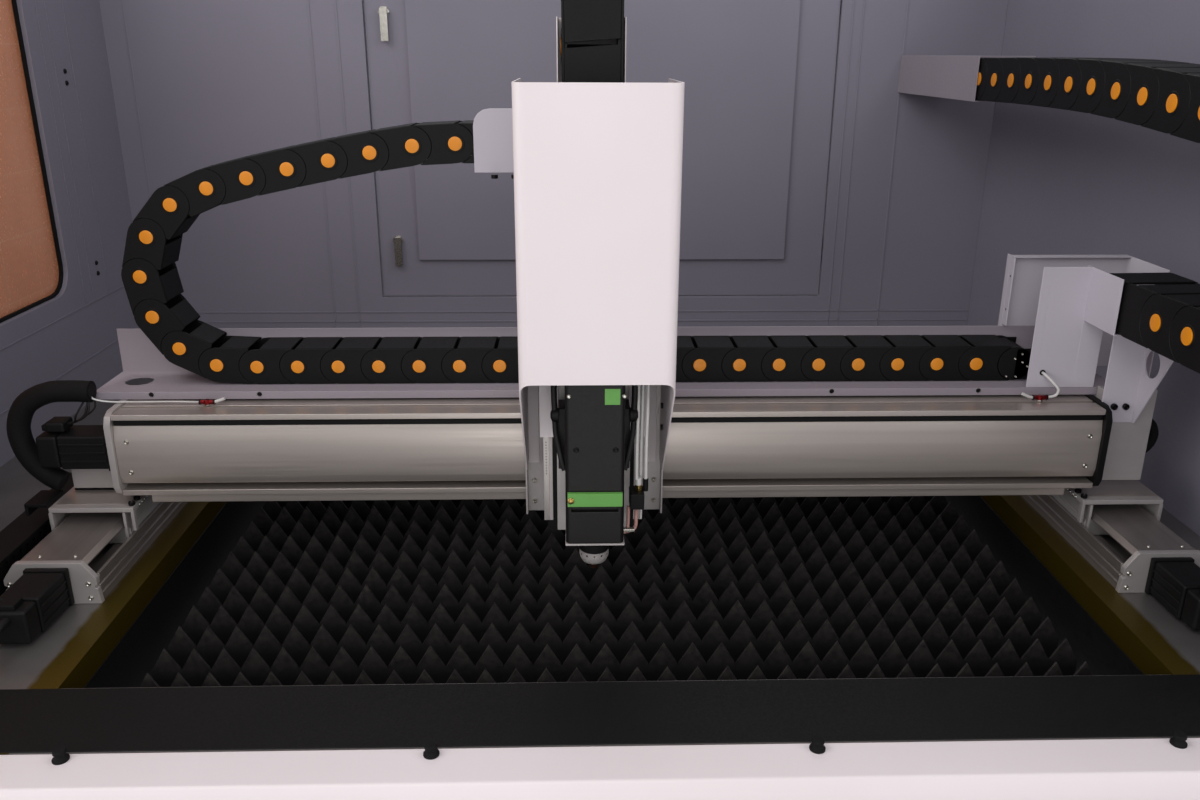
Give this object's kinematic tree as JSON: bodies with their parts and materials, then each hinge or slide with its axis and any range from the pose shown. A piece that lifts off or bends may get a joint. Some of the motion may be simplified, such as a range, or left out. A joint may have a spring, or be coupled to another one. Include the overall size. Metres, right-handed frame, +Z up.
{
  "type": "fiber laser cutting machine",
  "caption": "Enclosed sheet-metal laser cutter: comb slat bed, gantry on linear modules, cutting head and cable chains, in an open-front cabinet with window and rear door.",
  "frame": {"origin": "middle of the enclosure's footprint, on the floor", "axes": "+X to the right seen from the open front, +Y to the back, +Z up"},
  "size_m": [2.27, 1.72, 1.99],
  "materials": {
    "grey_enamel": "grey-blue enamel on folded steel sheet",
    "white_enamel": "white enamel on folded steel sheet",
    "bed_steel": "ground steel",
    "slat_steel": "laser-cut steel strip",
    "orange_acrylic": "laser-safe acrylic sheet",
    "brushed_aluminium": "anodised extrusion",
    "cast_plate": "bead-blasted plate",
    "black_plastic": "moulded polyamide",
    "black_anodised": "black anodised",
    "zinc": "zinc or nickel plated",
    "copper": "turned copper"
  },
  "bodies": {
    "machine": {"base_cabinet": "grey_enamel", "bed_plate": "bed_steel", "front_rail": "white_enamel", "slat_bed": "slat_steel", "left_wall": "grey_enamel", "right_wall": "grey_enamel", "rear_wall": "grey_enamel", "top_frame": "grey_enamel", "laser_window": "orange_acrylic", "y_module_left": "brushed_aluminium", "y_module_right": "brushed_aluminium", "y_cover_left": "brushed_aluminium", "y_cover_right": "brushed_aluminium", "y_end_left": "cast_plate", "y_end_right": "cast_plate", "y_motor_left": "black_plastic", "y_motor_right": "black_plastic", "chain_shelf": "white_enamel", "y_chain_upper": "black_plastic"},
    "drawer": {"scrap_drawer": "grey_enamel"},
    "door": {"rear_door": "grey_enamel"},
    "lower_lock": {"cam_lock_lower": "zinc"},
    "upper_lock": {"cam_lock_upper": "zinc"},
    "gantry": {"y_carriage_left": "cast_plate", "y_carriage_right": "cast_plate", "gantry_beam": "brushed_aluminium", "x_module": "brushed_aluminium", "x_cover": "brushed_aluminium", "x_end_left": "cast_plate", "x_end_right": "cast_plate", "x_motor": "black_plastic", "chain_tray": "white_enamel", "chain_guard": "white_enamel", "chain_post": "white_enamel", "end_bracket": "brushed_aluminium", "gusset_bracket": "white_enamel", "motor_conduit": "black_plastic", "x_chain_lower": "black_plastic", "y_chain_lower": "black_plastic"},
    "x_bend_low": {"x_chain_bend_low": "black_plastic"},
    "x_bend_high": {"x_chain_bend_high": "black_plastic"},
    "y_bend_low": {"y_chain_bend_low": "black_plastic"},
    "y_bend_high": {"y_chain_bend_high": "black_plastic"},
    "z_bend_front": {"z_chain_bend_front": "black_plastic"},
    "z_bend_back": {"z_chain_bend_back": "black_plastic"},
    "carriage": {"x_carriage": "white_enamel", "head_cover": "white_enamel", "chain_bracket": "white_enamel", "x_chain_upper": "black_plastic", "z_module": "brushed_aluminium", "z_motor": "black_plastic", "z_chain_back": "black_plastic"},
    "head": {"z_slide": "cast_plate", "cutting_head": "black_anodised", "lens_drawer": "black_anodised", "nozzle_holder": "black_plastic", "nozzle_ring": "zinc", "nozzle_tip": "copper", "z_chain_front": "black_plastic", "chain_channel": "white_enamel"}
  },
  "joints": [
    {"name": "y_travel", "type": "slide", "parent": "machine", "child": "gantry", "axis": [0, 1, 0], "range_m": [-0.1, 0.83], "deforming": ["y_chain_lower", "y_chain_upper"]},
    {"name": "x_travel", "type": "slide", "parent": "gantry", "child": "carriage", "axis": [1, 0, 0], "range_m": [-0.56, 0.63], "deforming": ["x_chain_lower", "x_chain_upper"]},
    {"name": "z_travel", "type": "slide", "parent": "carriage", "child": "head", "axis": [0, 0, 1], "range_m": [-0.06, 0.06], "deforming": ["z_chain_front", "z_chain_back"]},
    {"name": "x_bend_low_travel", "type": "slide", "parent": "gantry", "child": "x_bend_low", "axis": [1, 0, 0], "range_m": [-0.28, 0.315]},
    {"name": "x_bend_high_travel", "type": "slide", "parent": "carriage", "child": "x_bend_high", "axis": [1, 0, 0], "range_m": [-0.315, 0.28]},
    {"name": "y_bend_low_travel", "type": "slide", "parent": "gantry", "child": "y_bend_low", "axis": [0, 1, 0], "range_m": [-0.415, 0.05]},
    {"name": "y_bend_high_travel", "type": "slide", "parent": "machine", "child": "y_bend_high", "axis": [0, 1, 0], "range_m": [-0.05, 0.415]},
    {"name": "z_bend_front_travel", "type": "slide", "parent": "head", "child": "z_bend_front", "axis": [0, 0, 1], "range_m": [-0.03, 0.03]},
    {"name": "z_bend_back_travel", "type": "slide", "parent": "carriage", "child": "z_bend_back", "axis": [0, 0, 1], "range_m": [-0.03, 0.03]},
    {"name": "drawer_slide", "type": "slide", "parent": "machine", "child": "drawer", "axis": [0, -1, 0], "range_m": [0, 0.6]},
    {"name": "door_hinge", "type": "hinge", "parent": "machine", "child": "door", "pos_m": [0.6875, 0.852, 1.42], "axis": [0, 0, -1], "range_deg": [0, 110]},
    {"name": "lower_lock_turn", "type": "hinge", "parent": "door", "child": "lower_lock", "pos_m": [-0.422, 0.84, 1.151], "axis": [0, 1, 0], "range_deg": [0, 90]},
    {"name": "upper_lock_turn", "type": "hinge", "parent": "door", "child": "upper_lock", "pos_m": [-0.422, 0.84, 1.704], "axis": [0, 1, 0], "range_deg": [0, 90]}
  ],
  "couplings": [
    {"joint": "x_bend_low_travel", "follows": "x_travel", "ratio": 0.5},
    {"joint": "x_bend_high_travel", "follows": "x_travel", "ratio": -0.5},
    {"joint": "y_bend_low_travel", "follows": "y_travel", "ratio": -0.5},
    {"joint": "y_bend_high_travel", "follows": "y_travel", "ratio": 0.5},
    {"joint": "z_bend_front_travel", "follows": "z_travel", "ratio": -0.5},
    {"joint": "z_bend_back_travel", "follows": "z_travel", "ratio": 0.5}
  ]
}
